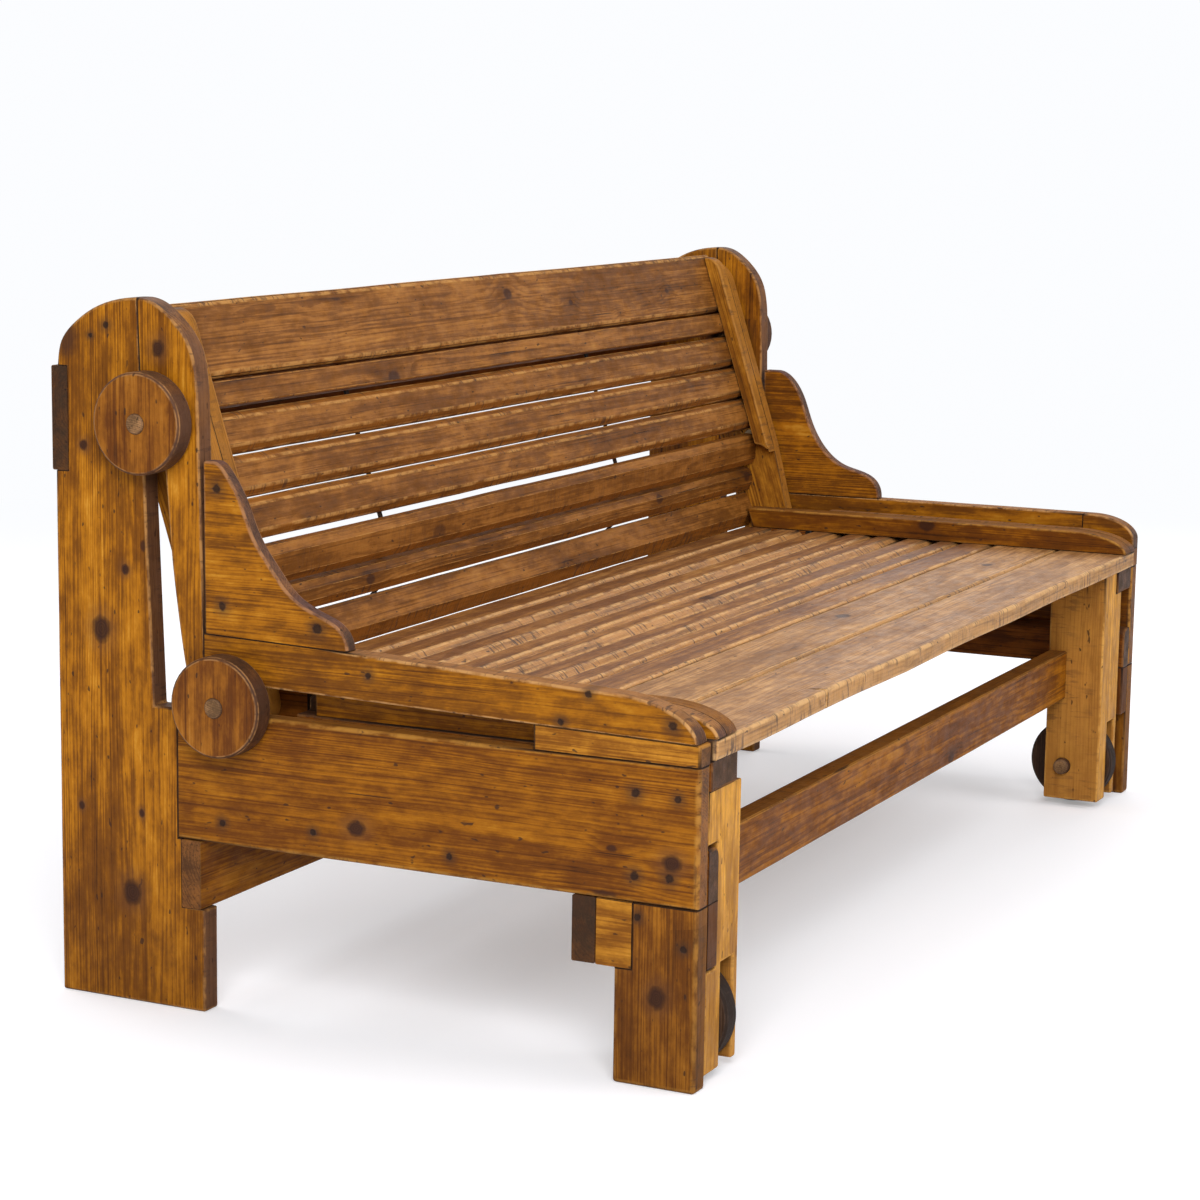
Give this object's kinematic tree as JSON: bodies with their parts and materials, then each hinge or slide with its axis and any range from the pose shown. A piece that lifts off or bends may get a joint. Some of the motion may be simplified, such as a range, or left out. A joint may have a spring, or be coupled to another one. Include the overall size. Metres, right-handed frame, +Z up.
{
  "type": "pull out bench bed",
  "caption": "Slatted pine bench with arched ends whose seat rolls forward on wheels while its back sinks along slots to make a flat bed.",
  "frame": {"origin": "middle of the footprint, on the floor", "axes": "+X along the length to the right-hand end seen from the front, +Y to the back, +Z up; the bench faces -Y"},
  "size_m": [1.868, 0.8846, 0.88],
  "materials": {
    "frame_pine": "old oiled pine, amber brown, worn",
    "back_pine": "old oiled pine, grey brown",
    "seat_pine": "worn pine, grey brown",
    "disc_wood": "worn turned wood, dark rim",
    "pin_wood": "dark dowel",
    "axle_wood": "dark dowel",
    "wheel_beech": "dark greyed wood",
    "peg_wood": "hidden peg",
    "strap_iron": "dark forged iron"
  },
  "bodies": {
    "frame": {"left_rear_post": "frame_pine", "right_rear_post": "frame_pine", "left_front_upright": "frame_pine", "right_front_upright": "frame_pine", "left_arm_bracket": "frame_pine", "right_arm_bracket": "frame_pine", "left_upper_rail": "frame_pine", "right_upper_rail": "frame_pine", "right_rail_nose": "frame_pine", "left_spacer_block": "frame_pine", "right_spacer_block": "frame_pine", "left_side_board": "frame_pine", "right_side_board": "frame_pine", "left_front_leg": "frame_pine", "right_front_leg": "frame_pine", "leg_notch_blocks": "frame_pine", "front_stretcher": "frame_pine", "rear_stretcher": "frame_pine", "rear_top_rail": "frame_pine", "corner_blocks": "frame_pine", "inner_rails": "frame_pine"},
    "fold_link": {"centre_pegs": "peg_wood"},
    "backrest": {"left_back_member": "back_pine", "right_back_member": "back_pine", "back_battens": "back_pine", "back_cleats": "back_pine", "back_top_board": "back_pine", "back_slat_1": "back_pine", "back_slat_2": "back_pine", "back_slat_3": "back_pine", "back_slat_4": "back_pine", "back_slat_5": "back_pine", "back_slat_6": "back_pine", "back_slat_7": "back_pine", "back_straps": "strap_iron", "slot_discs": "disc_wood", "upper_pins": "pin_wood", "lower_pins": "pin_wood"},
    "seat": {"left_seat_side": "seat_pine", "right_seat_side": "seat_pine", "seat_rims": "seat_pine", "seat_bearers": "seat_pine", "hinge_blocks": "seat_pine", "seat_front_board": "seat_pine", "seat_second_board": "seat_pine", "seat_slat_1": "seat_pine", "seat_slat_2": "seat_pine", "seat_slat_3": "seat_pine", "seat_slat_4": "seat_pine", "seat_slat_5": "seat_pine", "seat_slat_6": "seat_pine", "seat_slat_7": "seat_pine", "seat_slat_8": "seat_pine", "left_seat_leg": "seat_pine", "right_seat_leg": "seat_pine", "seat_leg_stretcher": "seat_pine", "left_wheel_axle": "axle_wood", "right_wheel_axle": "axle_wood"},
    "left_wheel": {"left_wheel": "wheel_beech"},
    "right_wheel": {"right_wheel": "wheel_beech"}
  },
  "joints": [
    {"name": "fold", "type": "hinge", "parent": "frame", "child": "fold_link", "pos_m": [0, 0.28269, 0.3938], "axis": [1, 0, 0], "range_deg": [0, 72.09]},
    {"name": "backrest_swing", "type": "hinge", "parent": "fold_link", "child": "backrest", "pos_m": [0, 0.23484, 0.56452], "axis": [1, 0, 0], "range_deg": [-144.72, 0.5]},
    {"name": "seat_hinge", "type": "hinge", "parent": "backrest", "child": "seat", "pos_m": [0, 0.187, 0.3938], "axis": [1, 0, 0], "range_deg": [-0.5, 72.61]},
    {"name": "left_wheel_spin", "type": "hinge", "parent": "seat", "child": "left_wheel", "pos_m": [-0.802, -0.3745, 0.0675], "axis": [1, 0, 0], "continuous": true},
    {"name": "right_wheel_spin", "type": "hinge", "parent": "seat", "child": "right_wheel", "pos_m": [0.79, -0.3745, 0.0675], "axis": [1, 0, 0], "continuous": true}
  ],
  "couplings": [
    {"joint": "backrest_swing", "follows": "fold", "ratio": -2},
    {"joint": "seat_hinge", "follows": "fold", "ratio": 1}
  ]
}
